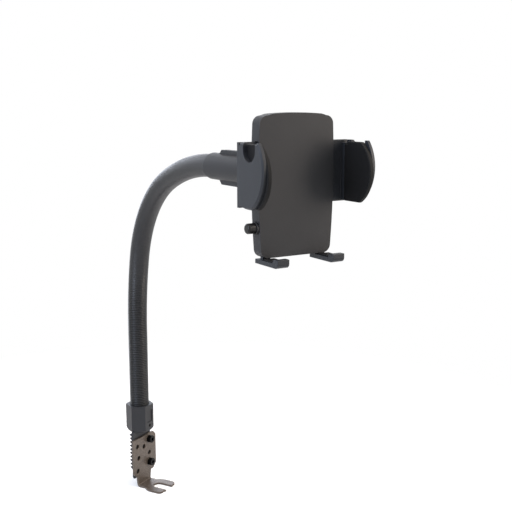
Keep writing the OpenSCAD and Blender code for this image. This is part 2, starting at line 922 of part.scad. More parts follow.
module cradle_cavity() {
    intersection() {
        cradle_outline(wall_t);
        translate([-body_half, wall_t - body_low])
            square([2 * body_half, body_low + body_top - 2 * wall_t]);
    }
}

// Rails on the shell's floor that carry the slides
module slide_rails() {
    for (z = [jaw_top - 2 * rail_w, jaw_low + rail_w])
        block(
            [wall_t - body_half, slide_back + pin_fit, z],
            [body_half - wall_t, floor_in + eps / 2, z + rail_w]
        );
}

module spring_rib() {
    block(
        [-spring_rib_x, slide_y, -button_drop - rib_half],
        [spring_rib_t - spring_rib_x, floor_in + eps / 2, rib_half - button_drop]
    );
}

// Openings in the shell's sides for the two slides
module slide_windows() {
    for (side = [-1, 1])
        block(
            [side * body_half - 2 * wall_t, cover_t - eps, jaw_low - slide_gap],
            [side * body_half + 2 * wall_t, slide_back + pin_fit, jaw_top + slide_gap]
        );
}

module post_windows() {
    for (side = [-1, 1])
        block(
            [side * foot_side - post_w / 2 - slide_gap, cover_t - eps, -body_low - eps],
            [side * foot_side + post_w / 2 + slide_gap, slide_y + post_t + slide_gap, -body_low + 2 * wall_t]
        );
}

// Hole for the button's guide, and the flat round it, behind y0
module button_hole(y0) {
    intersection() {
        union() {
            rod_x(
                button_depth, -button_drop, sleeve_in + loose_fit,
                -body_half, 2 * wall_t + eps / 2 - body_half
            );
            rod_x(button_depth, -button_drop, guide_r + loose_fit, -body_half - eps, -button_wall);
            rod_x(
                button_depth, -button_drop, rod_r + pin_fit,
                -spring_rib_x - eps, spring_rib_t + eps - spring_rib_x
            );
        }
        block([-2 * body_half, y0 - eps, -body_low], [0, body_t, 0]);
    }
}

module shell_screw_holes() {
    for (p = case_places()) {
        rod_y(p[0], p[1], case_screw_r + fix_gap, floor_in - eps, body_t + eps);
        rod_y(p[0], p[1], screw_head_r + fix_gap, body_t - screw_head_h, body_t + eps);
    }
    translate([0, body_t, 0])
        rotate([-90, 0, 0])
            socket_screw_places()
                translate([0, 0, -wall_t - eps])
                    cylinder(h = wall_t + 2 * eps, r = socket_screw_r + fix_gap);
}

module cradle_front() {
    color("#3b3c3f")
        cradle_frame()
            difference() {
                union() {
                    slab_y(0, cover_t)
                        cradle_outline(0);
                    for (p = case_places())
                        rod_y(p[0], p[1], boss_r, cover_t - eps / 2, floor_in - thread_fit);
                }
                for (p = case_places())
                    rod_y(p[0], p[1], case_screw_r + thread_fit, cover_t / 2, body_t);
                button_hole(0);
                rod_y(0, jaw_lift, pinion_pin_r + thread_fit, cover_t / 2, cover_t + eps);
                rod_y(pawl_x, pawl_z, pawl_pin_r + thread_fit, cover_t / 2, cover_t + eps);
            }
}

module case_screws() {
    color("#2b2b2d")
        cradle_frame()
            for (p = case_places()) {
                rod_y(p[0], p[1], case_screw_r, cover_t / 2 + gap, body_t - 0.5);
                difference() {
                    rod_y(p[0], p[1], screw_head_r, body_t - screw_head_h, body_t - 0.1);
                    translate([p[0], body_t, p[1]])
                        rotate([90, 0, 0])
                            cross_slot(0);
                }
            }
}

// Jaws

// Disc across x from ear_in to ear_out, bevelled at its outer rim
module bevelled_disc(y, z, r) {
    rod_x(y, z, r, ear_in, ear_out - ear_bevel);
    translate([ear_out - ear_bevel, y, z])
        rotate([0, 90, 0])
            cylinder(h = ear_bevel, r1 = r, r2 = r - ear_bevel);
}

// Outer plate of the right jaw
module ear_plate() {
    edge_y = ear_edge_r - ear_reach;
    back_r = ((jaw_h / 2) ^ 2 + ear_back_bow ^ 2) / (2 * ear_back_bow);
    difference() {
        intersection() {
            bevelled_disc(edge_y, jaw_lift + ear_edge_lift, ear_edge_r);
            bevelled_disc(ear_back_bow - back_r, jaw_lift, back_r);
            slab_y(-2 * ear_reach, body_t)
                polygon([
                    [ear_in, jaw_low], [ear_out - ear_bevel, jaw_low], [ear_out, jaw_low + ear_bevel],
                    [ear_out, jaw_top - ear_bevel], [ear_out - ear_bevel, jaw_top], [ear_in, jaw_top]
                ]);
            slab_x(ear_in - eps, ear_out + eps)
                polygon(concat(
                    corner_points(ear_back_bow - ear_round, jaw_low + ear_round, ear_round, -90),
                    [[ear_back_bow, jaw_top + eps], [-2 * ear_reach, jaw_top + eps]],
                    [[-2 * ear_reach, jaw_low]]
                ));
        }
        rod_x(-notch_reach, jaw_top - notch_depth + notch_r, notch_r, ear_in - eps, ear_out + eps);
        block(
            [ear_in - eps, -notch_reach - notch_r, jaw_top - notch_depth + notch_r],
            [ear_out + eps, notch_r - notch_reach, jaw_top + eps]
        );
    }
}

// Jaw on the right: outer plate, return and the wide end of its slide
module jaw() {
    ear_plate();
    block([pad_in, -eps, jaw_low + 1], [ear_out - ear_bevel, slide_back, jaw_top - 2]);
    block([slide_step, slide_y, jaw_low], [ear_out - ear_bevel, slide_back, jaw_top]);
}

// Rack bar above the pinion, from the jaw inwards
module rack_bar(height) {
    first = ceil(-slide_end / rack_pitch);
    half_pitch = rack_pitch / 4 - backlash / 4;
    slope = tan(20);
    top = half_pitch - (pitch_r - rack_tip) * slope;
    foot = half_pitch + (rack_root - pitch_r) * slope;
    slab_y(slide_y, slide_back)
        polygon(concat(
            [[-slide_end, height], [-slide_end, rack_root]],
            [for (i = [first:4], c = rack_tooth((i + 0.5) * rack_pitch, top, foot)) c],
            [[slide_step + eps, rack_root], [slide_step + eps, height]]
        ));
}

function rack_tooth(x, top, foot) = [
    [x - foot, rack_root], [x - top, rack_tip], [x + top, rack_tip], [x + foot, rack_root]
];

module left_arm() {
    color("#454a52")
        cradle_frame()
            mirror([1, 0, 0]) {
                jaw();
                translate([0, 0, jaw_lift])
                    rack_bar(jaw_h / 2);
            }
}

module right_arm() {
    color("#454a52")
        cradle_frame()
            difference() {
                union() {
                    jaw();
                    translate([0, 0, jaw_lift])
                        mirror([0, 0, 1])
                            rack_bar(jaw_h / 2);
                }
                ratchet_cuts();
            }
}

// Saw-shaped gullets in the lower edge of the right slide, one over the pawl's tooth
module ratchet_cuts() {
    x = pawl_x - pawl_reach;
    for (i = [-5:5])
        slab_y(slide_y - eps, slide_back + eps)
            translate([x + i * ratchet_pitch, jaw_low])
                polygon([
                    [-ratchet_pitch / 2, -eps], [-ratchet_pitch / 2, ratchet_tooth],
                    [ratchet_pitch / 2, 0], [ratchet_pitch / 2, -eps]
                ]);
}

// Pad of the right jaw
module jaw_pad() {
    color("#161616")
        cradle_frame()
            children();
}

module pad_shape() {
    edge_r = ear_edge_r - 4;
    edge_y = edge_r - ear_reach - 1.4;
    difference() {
        intersection() {
            rod_x(edge_y, jaw_lift, edge_r, pad_in, ear_in);
            block([pad_in - eps, -2 * ear_reach, jaw_low + 0.4], [ear_in + eps, -eps, jaw_top - 1]);
        }
        block([pad_in - eps, -4, jaw_top - 2.6], [ear_in + eps, eps, jaw_top]);
    }
}

module left_pad() {
    jaw_pad()
        mirror([1, 0, 0])
            pad_shape();
}

module right_pad() {
    jaw_pad()
        pad_shape();
}

// Gearing, lock and button

module pinion() {
    flank = [root_r, base_r, (base_r + pitch_r) / 2, pitch_r, (pitch_r + tip_r) / 2, tip_r];
    last = len(flank) - 1;
    color("#d8d4c8")
        cradle_frame()
            difference() {
                slab_y(slide_y, slide_back)
                    translate([0, jaw_lift])
                        polygon([
                            for (i = [0:pinion_teeth - 1], side = [-1, 1], k = [0:last])
                                let (
                                    r = flank[side < 0 ? k : last - k],
                                    a = i * 360 / pinion_teeth + side * tooth_half(r)
                                )
                                [r * cos(a), r * sin(a)]
                        ]);
                rod_y(0, jaw_lift, pinion_pin_r + pin_fit, slide_y - eps, slide_back + eps);
            }
}

module pinion_pin() {
    color("#a7a9ac")
        cradle_frame()
            rod_y(0, jaw_lift, pinion_pin_r, cover_t / 2 + thread_fit, body_t - 0.9);
}

// Flat spiral strip behind the pinion
module opening_spring() {
    steps = 20 * coil_turns;
    inner = [for (i = [0:steps]) spiral_point(i / steps, 0)];
    outer = [for (i = [steps:-1:0]) spiral_point(i / steps, coil_t)];
    color("#b9bbbe")
        cradle_frame()
            slab_y(slide_back + gap, floor_in - gap)
                translate([0, jaw_lift])
                    polygon(concat(inner, outer));
}

function spiral_point(t, out) = let (
    r = spiral_in + (spiral_out - spiral_in) * t + out,
    a = 90 + 360 * coil_turns * t
) [r * cos(a), r * sin(a)];

module lock_pawl() {
    tip = [pawl_x + 0.2 - pawl_reach - ratchet_pitch / 2, jaw_low];
    color("#d8d4c8")
        cradle_frame()
            difference() {
                union() {
                    rod_y(pawl_x, pawl_z, pawl_pin_r + 1.4, slide_y, slide_back);
                    slab_y(slide_y, slide_back)
                        polygon([
                            [pawl_x - 0.5, pawl_z + pawl_t], [pawl_x - 0.5, pawl_z - pawl_t],
                            [tip[0], tip[1] - 2 * pawl_t], [tip[0], tip[1] + ratchet_tooth - 0.4],
                            [tip[0] + ratchet_pitch - 0.4, tip[1] - 0.5]
                        ]);
                    block(
                        [pawl_x - pawl_t / 2, slide_y, -button_drop - rod_r],
                        [pawl_x + pawl_t / 2, slide_back, pawl_z]
                    );
                }
                rod_y(pawl_x, pawl_z, pawl_pin_r + pin_fit, slide_y - eps, slide_back + eps);
            }
}

module pawl_pin() {
    color("#a7a9ac")
        cradle_frame()
            rod_y(pawl_x, pawl_z, pawl_pin_r, cover_t / 2 + thread_fit, body_t - 0.9);
}

module release_button() {
    stop_x = -spring_rib_x + spring_rib_t + pin_fit;
    color("#1d1d1e")
        cradle_frame() {
            translate([-button_tip, button_depth, -button_drop])
                rotate([0, 90, 0])
                    rotate_extrude()
                        polygon([
                            [0, 0], [button_r - 0.8, 0], [button_r, 0.8],
                            [button_r, button_tip - cap_in], [0, button_tip - cap_in]
                        ]);
            rod_x(button_depth, -button_drop, rod_r, -cap_in - eps / 2, rod_stop_x);
            rod_x(button_depth, -button_drop, rod_r + 0.8, stop_x, stop_x + 1);
        }
}

module button_guide() {
    color("#26272a")
        cradle_frame()
            difference() {
                union() {
                    rod_x(button_depth, -button_drop, guide_r, -guide_tip, -button_wall);
                    rod_x(
                        button_depth, -button_drop, sleeve_in,
                        -button_wall - eps / 2, guide_in - button_wall
                    );
                }
                rod_x(button_depth, -button_drop, button_r + pin_fit, -guide_tip - eps, -cap_floor);
                rod_x(button_depth, -button_drop, rod_r + pin_fit, -guide_tip, guide_in - button_wall + eps);
            }
}

// Coil between the guide and the spring rib
module button_spring() {
    start = guide_in - button_wall + pin_fit;
    length = -spring_rib_x - pin_fit - start;
    wire_r = 0.25;
    turns = 5;
    color("#b9bbbe")
        cradle_frame()
            translate([start + wire_r, button_depth, -button_drop])
                rotate([0, 90, 0])
                    linear_extrude(length - 2 * wire_r, twist = -360 * turns, slices = 12 * turns)
                        translate([rod_r + 0.5, 0])
                            scale([1, 1.6])
                                circle(r = wire_r, $fn = 6);
}

// Feet

// Bar with a rounded, turned-up lip, and the post that slides in the cradle
module foot(side) {
    lip_y = foot_t - foot_reach;
    color("#3f4350")
        cradle_frame()
            translate([side * foot_side, 0, 0]) {
                intersection() {
                    block(
                        [-foot_w / 2, -foot_reach, foot_low],
                        [foot_w / 2, slide_y + post_t + foot_past, foot_top + lip_h]
                    );
                    union() {
                        block([-foot_w, lip_y, foot_low], [foot_w, body_t + foot_past, foot_top]);
                        rod_x(lip_y, foot_top, foot_t, -foot_w, foot_w);
                        block([-foot_w, -foot_reach, foot_top], [foot_w, lip_y, foot_top + lip_h]);
                    }
                }
                block(
                    [-post_w / 2, slide_y, foot_top - foot_t / 2],
                    [post_w / 2, slide_y + post_t, -body_low + post_in]
                );
            }
}

module left_foot() {
    foot(-1);
}

module right_foot() {
    foot(1);
}

module foot_pad(side) {
    color("#161616")
        cradle_frame()
            translate([side * foot_side, 0, 0])
                block(
                    [foot_pad_edge - foot_w / 2, 2 * foot_t - foot_reach, foot_top],
                    [foot_w / 2 - foot_pad_edge, -foot_pad_edge, foot_top + foot_pad_t]
                );
}

module left_foot_pad() {
    foot_pad(-1);
}

module right_foot_pad() {
    foot_pad(1);
}

rail_bracket();
base_collar();
bracket_screws();
bracket_washers();
bracket_nuts();
collar_screw();
gooseneck();
head_sleeve();
head_screw();
ball_stud();
ball_liner();
lock_ring();
ball_socket();
socket_screws();
cradle_back();
cradle_front();
case_screws();
left_arm();
right_arm();
left_pad();
right_pad();
pinion();
pinion_pin();
opening_spring();
lock_pawl();
pawl_pin();
release_button();
button_guide();
button_spring();
left_foot();
right_foot();
left_foot_pad();
right_foot_pad();
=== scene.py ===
# Seat rail phone mount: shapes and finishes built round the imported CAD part.
# Lengths are in metres unless a name says mm. +Z is up and the cradle faces -Y.
from math import ceil, cos, pi, radians, sin

import bmesh
import bpy
from bpy.props import FloatProperty, FloatVectorProperty, IntProperty, PointerProperty, StringProperty
from bpy.types import Operator, Panel, PropertyGroup
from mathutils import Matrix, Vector


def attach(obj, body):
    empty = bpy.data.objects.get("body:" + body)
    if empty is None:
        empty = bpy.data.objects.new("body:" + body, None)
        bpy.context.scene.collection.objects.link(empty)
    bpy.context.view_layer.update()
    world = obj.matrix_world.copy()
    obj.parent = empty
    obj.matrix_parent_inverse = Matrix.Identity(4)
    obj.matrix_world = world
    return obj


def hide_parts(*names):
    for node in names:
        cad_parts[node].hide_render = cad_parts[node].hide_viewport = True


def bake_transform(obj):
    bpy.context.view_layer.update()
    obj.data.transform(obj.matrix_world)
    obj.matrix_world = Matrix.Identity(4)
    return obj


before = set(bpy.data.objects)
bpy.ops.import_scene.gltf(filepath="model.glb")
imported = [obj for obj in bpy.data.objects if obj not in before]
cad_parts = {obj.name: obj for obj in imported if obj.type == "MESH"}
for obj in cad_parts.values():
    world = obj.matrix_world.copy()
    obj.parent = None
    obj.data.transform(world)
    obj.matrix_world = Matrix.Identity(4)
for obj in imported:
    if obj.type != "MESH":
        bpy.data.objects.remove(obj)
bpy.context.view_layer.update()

bl_info = {
    "name": "Seat rail phone mount",
    "version": (1, 0, 0),
    "blender": (4, 5, 0),
    "location": "3D View > Sidebar > Phone Mount",
    "description": "Builds the finished surfaces of a seat rail phone mount round its CAD frame",
    "category": "Object",
}

MM = 0.001

# Points of a CAD mesh closer than this are one point, and faces flatter than this are one face
WELD = 0.002 * MM
FLAT_DEG = 0.6
# Points of the neck's turns that are one point
TURN_WELD = 0.004 * MM
# Heading past which the neck's run is level
LEVEL = pi / 2 - 1e-6
# Attribute of the neck's mesh: 0 on a rib's crest, 1 at the bottom of its groove; the neck's material darkens
# the grooves by it as painted shade
GROOVE = "groove"
# The ribs fade over this share of the bend's length
FADE_SHARE = 1 / 3
# Share of the neck's upright part at which a start point is taken; the point is not used
GIVE_START = 0.9

# The stage: floor, sensor, the point that the lamps face, and each lamp's place, size, power and tint
FLOOR_RADIUS = 6.0
FLOOR_GAP = 0.02 * MM
FLOOR_SIDES = 96
# The paper's shading fades to plain white between these distances from the mount
FADE_FROM, FADE_TO = 0.2, 0.5
SENSOR_MM = 36.0
LIT_POINT = (-0.01, -0.1, 0.2)
LAMPS = {
    "Left softbox": ((-1.1, -0.3, 0.6), (0.45, 1.1), 13.0, "#DCE8FF"),
    "Right softbox": ((0.9, -0.9, 0.6), (0.4, 1.0), 12.0, "#FFF0E2"),
    "Top softbox": ((0.1, -0.2, 1.4), (1.0, 0.8), 12.0, "#FFF4EA"),
    "Back softbox": ((0.2, 1.2, 0.5), (1.0, 0.8), 8.0, "#E6EEFF"),
}

# Sockets of a Mix node that is set to colours, by their place
MIX_FACTOR, MIX_A, MIX_B, MIX_OUT = 0, 6, 7, 2


# Sizes and colours that a user would change

def length_property(name, description, default_mm, lowest=0.0):
    return FloatProperty(
        name=name, description=description, default=default_mm * MM, min=lowest,
        subtype="DISTANCE", unit="LENGTH", precision=5,
    )


def angle_property(name, description, default_deg):
    return FloatProperty(name=name, description=description, default=radians(default_deg), subtype="ANGLE")


def hex_property(name, description, default):
    return StringProperty(name=name, description=description, default=default)


class NeckSizes(PropertyGroup):
    """The gooseneck's run, as in the CAD part, and its ribs."""
    radius: length_property("Radius", "Outside radius over the ribs", 8.8)
    axis_x: length_property("Axis X", "Place of the neck's plane", -10.0, lowest=-1.0)
    axis_y: length_property("Axis Y", "Place of the upright part", 17.3205, lowest=-1.0)
    foot: length_property("Foot", "Height at which the neck leaves the collar's floor", 58.4)
    rise: length_property("Rise", "Height at which the neck starts to bend", 152.4)
    low_bend: length_property("Low bend", "Radius of the first bend", 295.0)
    low_turn: angle_property("Low turn", "Turn of the first bend", 13.5)
    mid_bend: length_property("Main bend", "Radius of the main bend", 109.0)
    mid_turn: angle_property("Main turn", "Turn of the main bend", 52.5)
    top_bend: length_property("Top bend", "Radius of the last bend", 199.0)
    tail: length_property("Tail", "Length of the neck inside the head's sleeve", 27.0)
    rib_pitch: length_property("Rib pitch", "Distance from one rib to the next", 1.68)
    rib_depth: length_property("Rib depth", "Depth of the groove between two ribs", 0.62)
    smooth: FloatProperty(
        name="Smoothness of the bend",
        description="Share of the ribs' depth that the coating fills along the bend",
        default=0.8, min=0.0, max=1.0, subtype="FACTOR",
    )
    sides: IntProperty(name="Sides", description="Facets round the neck", default=44, min=12)


class EdgeSizes(PropertyGroup):
    """Rounding of the punched and the moulded edges."""
    sheet: length_property("Sheet", "Rounding of the tumbled steel sheet's edges", 0.35)
    moulded: length_property("Moulded", "Rounding of the moulded parts' edges", 0.45)
    rubber: length_property("Rubber", "Rounding of the rubber parts' edges", 0.6)
    fine: length_property("Fine", "Rounding of screws and small parts", 0.15)


class Finish(PropertyGroup):
    """Colours, as sRGB hex values."""
    bracket: hex_property("Bracket", "Coated steel of the bracket", "#4A433D")
    collar: hex_property("Collar", "Nylon of the collar and tang", "#242528")
    neck: hex_property("Neck", "Coating of the gooseneck", "#1C1D20")
    head: hex_property("Head", "Nylon of the head and swivel", "#1F2023")
    case: hex_property("Case", "ABS of the cradle's shell", "#232427")
    jaws: hex_property("Jaws", "ABS of the jaws and feet", "#23262B")
    pads: hex_property("Pads", "Rubber of the pads", "#0B0B0C")
    button: hex_property("Button", "ABS of the release button", "#0E0E0F")
    zinc: hex_property("Zinc", "Zinc plated steel of nuts, washers, pins and ball", "#9DA0A4")
    oxide: hex_property("Black oxide", "Blackened steel of the bracket's, set and case screws", "#1A1A1B")
    acetal: hex_property("Acetal", "Acetal of the gear and the liner", "#D9D6CB")
    spring: hex_property("Spring", "Bright spring steel", "#B4B7BA")


class StageSizes(PropertyGroup):
    """Camera and stage."""
    camera: FloatVectorProperty(
        name="Camera", description="Place of the camera", size=3, subtype="TRANSLATION",
        default=(-322.1 * MM, -701.8 * MM, 359.6 * MM),
    )
    pitch: angle_property("Pitch", "Camera's tilt below level", 10.13)
    turn: angle_property("Turn", "Camera's turn about the upright", -31.525)
    lens: FloatProperty(
        name="Lens", description="Focal length on a 36 mm sensor", default=60.55, unit="CAMERA",
    )


# Mesh helpers

def finished(bm, name, body, material, sharp_deg=35.0):
    """Makes a mesh object of bm that rides on a body, if one is named, smooth but for its sharp edges."""
    mesh = bpy.data.meshes.new(name)
    bm.to_mesh(mesh)
    bm.free()
    mesh.shade_smooth()
    mesh.set_sharp_from_angle(angle=radians(sharp_deg))
    piece = bpy.data.objects.new(name, mesh)
    bpy.context.scene.collection.objects.link(piece)
    mesh.materials.append(material)
    if body:
        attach(piece, body)
    return piece


def merged_copy(node):
    """A bmesh of a CAD node with its loose triangles joined and its flat faces whole."""
    bm = bmesh.new()
    bm.from_mesh(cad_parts[node].data)
    bmesh.ops.remove_doubles(bm, verts=bm.verts, dist=WELD)
    bmesh.ops.dissolve_limit(bm, angle_limit=radians(FLAT_DEG), verts=bm.verts, edges=bm.edges)
    return bm


def soften(piece, width, segments=3, angle_deg=32.0):
    """Rounds the piece's sharp edges and keeps its flats flat in shading."""
    bevel = piece.modifiers.new("Rounded edges", "BEVEL")
    bevel.limit_method = "ANGLE"
    bevel.angle_limit = radians(angle_deg)
    bevel.width = width
    bevel.segments = segments
    bevel.profile = 0.5
    bevel.use_clamp_overlap = True
    bevel.miter_outer = "MITER_ARC"
    weighted = piece.modifiers.new("Flat shading", "WEIGHTED_NORMAL")
    weighted.keep_sharp = True


def dress(node, body, material, width, segments=3, name=None):
    """Replaces a CAD node with a copy that has rounded edges and its own finish."""
    piece = finished(merged_copy(node), name or node + "_finished", body, material)
    soften(piece, width, segments)
    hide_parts(node)
    return piece


def repaint(node, material):
    """Gives a CAD node that keeps its own mesh its finish."""
    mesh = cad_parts[node].data
    if not mesh.materials:
        mesh.materials.append(material)
    for i in range(len(mesh.materials)):
        mesh.materials[i] = material


# Material helpers

def linear(hex_colour):
    """sRGB hex to linear RGBA."""
    values = [int(hex_colour[i:i + 2], 16) / 255 for i in (1, 3, 5)]
    return [v / 12.92 if v <= 0.04045 else ((v + 0.055) / 1.055) ** 2.4 for v in values] + [1.0]


def shade(hex_colour, factor):
    """A lighter or darker version of a colour, linear."""
    return [min(1.0, v * factor) for v in linear(hex_colour)[:3]] + [1.0]


def add(tree, kind, inputs=(), **settings):
    """Adds a node; an input is a value or another node's (node, output) pair."""
    made = tree.nodes.new(kind)
    for key, value in settings.items():
        setattr(made, key, value)
    for key, value in dict(inputs).items():
        if isinstance(value, tuple) and len(value) == 2 and isinstance(value[0], bpy.types.Node):
            tree.links.new(value[0].outputs[value[1]], made.inputs[key])
        else:
            made.inputs[key].default_value = value
    return made


def new_material(name):
    material = bpy.data.materials.new(name)
    material.use_nodes = True
    material.node_tree.nodes.clear()
    return material


def per_metre(size_mm):
    """Texture scale that makes a pattern's features about this many millimetres."""
    return 1.0 / (size_mm * MM)


def edge_mask(tree, radius_mm):
    """1 near convex edges, 0 on flats: there the rounded normal turns away from the flat one."""
    rounded = add(tree, "ShaderNodeBevel", {"Radius": radius_mm * MM}, samples=4)
    flat = add(tree, "ShaderNodeNewGeometry")
    dot = add(
        tree, "ShaderNodeVectorMath",
        {0: (rounded, "Normal"), 1: (flat, "Normal")}, operation="DOT_PRODUCT",
    )
    return add(
        tree, "ShaderNodeMapRange",
        {"Value": (dot, "Value"), "From Min": 0.995, "From Max": 0.90, "To Min": 0.0, "To Max": 1.0},
    )


def moulded_plastic(name, colour, rough=0.5, grit_mm=0.35, bump=0.15, mottle=0.12, specular=0.28):
    """Injection moulded plastic: even colour, fine spark texture, and convex edges lightened as a painted
    highlight.
    """
    material = new_material(name)
    tree = material.node_tree
    place = add(tree, "ShaderNodeTexCoord")
    # The real spark texture is about 0.05 mm; it is drawn coarser so that it shows
    grit = add(
        tree, "ShaderNodeTexNoise",
        {"Vector": (place, "Object"), "Scale": per_metre(grit_mm), "Detail": 3.0, "Roughness": 0.6},
    )
    cloud = add(
        tree, "ShaderNodeTexNoise",
        {"Vector": (place, "Object"), "Scale": per_metre(14.0), "Detail": 2.0, "Roughness": 0.5},
    )
    # Mask of the convex edges, which are mixed towards a lighter colour below as a painted edge highlight
    edge_highlight = edge_mask(tree, 0.5)
    tone = add(
        tree, "ShaderNodeMix",
        {MIX_FACTOR: (cloud, "Fac"), MIX_A: shade(colour, 1 - mottle), MIX_B: shade(colour, 1 + mottle)},
        data_type="RGBA",
    )
    edged = add(
        tree, "ShaderNodeMix",
        {MIX_FACTOR: (edge_highlight, "Result"), MIX_A: (tone, MIX_OUT), MIX_B: shade(colour, 1.35)},
        data_type="RGBA",
    )
    gloss = add(
        tree, "ShaderNodeMapRange",
        {
            "Value": (grit, "Fac"), "From Min": 0.3, "From Max": 0.7,
            "To Min": rough - 0.06, "To Max": rough + 0.08,
        },
    )
    relief = add(
        tree, "ShaderNodeBump",
        {"Height": (grit, "Fac"), "Strength": bump, "Distance": 0.05 * MM},
    )
    surface = add(
        tree, "ShaderNodeBsdfPrincipled",
        {
            "Base Color": (edged, MIX_OUT), "Roughness": (gloss, "Result"), "IOR": 1.53,
            "Specular IOR Level": specular, "Normal": (relief, "Normal"),
        },
    )
    add(tree, "ShaderNodeOutputMaterial", {"Surface": (surface, "BSDF")})
    return material


def pad_rubber(name, colour):
    """Moulded EPDM: near black, dull, with a faint dusty bloom in broad patches."""
    material = new_material(name)
    tree = material.node_tree
    place = add(tree, "ShaderNodeTexCoord")
    bloom = add(
        tree, "ShaderNodeTexNoise",
        {"Vector": (place, "Object"), "Scale": per_metre(5.0), "Detail": 4.0, "Roughness": 0.65},
    )
    grain = add(
        tree, "ShaderNodeTexNoise",
        {"Vector": (place, "Object"), "Scale": per_metre(0.3), "Detail": 2.0, "Roughness": 0.5},
    )
    tone = add(
        tree, "ShaderNodeMix",
        {MIX_FACTOR: (bloom, "Fac"), MIX_A: shade(colour, 0.75), MIX_B: shade(colour, 1.6)},
        data_type="RGBA",
    )
    relief = add(
        tree, "ShaderNodeBump",
        {"Height": (grain, "Fac"), "Strength": 0.25, "Distance": 0.05 * MM},
    )
    surface = add(
        tree, "ShaderNodeBsdfPrincipled",
        {
            "Base Color": (tone, MIX_OUT), "Roughness": 0.68, "IOR": 1.5,
            "Specular IOR Level": 0.2, "Normal": (relief, "Normal"),
        },
    )
    add(tree, "ShaderNodeOutputMaterial", {"Surface": (surface, "BSDF")})
    return material


def neck_coating(name, colour):
    """Extruded PVC over the wound core: satin crests, grooves darkened with painted shade, slight handling
    polish.
    """
    material = new_material(name)
    tree = material.node_tree
    place = add(tree, "ShaderNodeTexCoord")
    handling = add(
        tree, "ShaderNodeTexNoise",
        {"Vector": (place, "Object"), "Scale": per_metre(22.0), "Detail": 3.0, "Roughness": 0.55},
    )
    grain = add(
        tree, "ShaderNodeTexNoise",
        {"Vector": (place, "Object"), "Scale": per_metre(0.4), "Detail": 2.0, "Roughness": 0.5},
    )
    tone = add(
        tree, "ShaderNodeMix",
        {MIX_FACTOR: (handling, "Fac"), MIX_A: shade(colour, 0.85), MIX_B: shade(colour, 1.15)},
        data_type="RGBA",
    )
    gloss = add(
        tree, "ShaderNodeMapRange",
        {"Value": (handling, "Fac"), "From Min": 0.3, "From Max": 0.7, "To Min": 0.33, "To Max": 0.42},
    )
    groove = add(tree, "ShaderNodeAttribute", attribute_name=GROOVE)
    # Groove depth turned into painted shade: deep points are mixed towards a near black copy of the colour
    groove_shade = add(
        tree, "ShaderNodeMapRange",
        {"Value": (groove, "Fac"), "From Min": 0.1, "From Max": 0.5, "To Min": 0.0, "To Max": 1.0},
    )
    ribbed = add(
        tree, "ShaderNodeMix",
        {MIX_FACTOR: (groove_shade, "Result"), MIX_A: (tone, MIX_OUT), MIX_B: shade(colour, 0.12)},
        data_type="RGBA",
    )
    relief = add(
        tree, "ShaderNodeBump",
        {"Height": (grain, "Fac"), "Strength": 0.1, "Distance": 0.03 * MM},
    )
    surface = add(
        tree, "ShaderNodeBsdfPrincipled",
        {
            "Base Color": (ribbed, MIX_OUT), "Roughness": (gloss, "Result"), "IOR": 1.54,
            "Specular IOR Level": 0.32, "Normal": (relief, "Normal"),
        },
    )
    add(tree, "ShaderNodeOutputMaterial", {"Surface": (surface, "BSDF")})
    return material


def coated_steel(name, colour):
    """Punched and bent steel with a speckled, satin brown-grey coat, its convex edges lightened as a painted
    highlight.
    """
    material = new_material(name)
    tree = material.node_tree
    place = add(tree, "ShaderNodeTexCoord")
    # The real coat's speckle is about 0.3 mm; it is drawn coarser so that it shows
    peel = add(
        tree, "ShaderNodeTexNoise",
        {"Vector": (place, "Object"), "Scale": per_metre(0.8), "Detail": 3.0, "Roughness": 0.6},
    )
    patch = add(
        tree, "ShaderNodeTexNoise",
        {"Vector": (place, "Object"), "Scale": per_metre(7.0), "Detail": 4.0, "Roughness": 0.6},
    )
    # Mask of the convex edges, which are mixed towards a much lighter colour below as a painted edge
    # highlight
    steel_edge_highlight = edge_mask(tree, 0.5)
    tone = add(
        tree, "ShaderNodeMix",
        {MIX_FACTOR: (patch, "Fac"), MIX_A: shade(colour, 0.82), MIX_B: shade(colour, 1.2)},
        data_type="RGBA",
    )
    edged = add(
        tree, "ShaderNodeMix",
        {MIX_FACTOR: (steel_edge_highlight, "Result"), MIX_A: (tone, MIX_OUT), MIX_B: shade(colour, 1.9)},
        data_type="RGBA",
    )
    fleck = add(
        tree, "ShaderNodeMapRange",
        {"Value": (peel, "Fac"), "From Min": 0.4, "From Max": 0.68, "To Min": 0.0, "To Max": 1.0},
    )
    speckled = add(
        tree, "ShaderNodeMix",
        {MIX_FACTOR: (fleck, "Result"), MIX_A: (edged, MIX_OUT), MIX_B: shade(colour, 2.4)},
        data_type="RGBA",
    )
    relief = add(
        tree, "ShaderNodeBump",
        {"Height": (peel, "Fac"), "Strength": 0.4, "Distance": 0.08 * MM},
    )
    surface = add(
        tree, "ShaderNodeBsdfPrincipled",
        {
            "Base Color": (speckled, MIX_OUT), "Metallic": 0.35, "Roughness": 0.4,
            "IOR": 1.5, "Specular IOR Level": 0.35, "Normal": (relief, "Normal"),
        },
    )
    add(tree, "ShaderNodeOutputMaterial", {"Surface": (surface, "BSDF")})
    return material


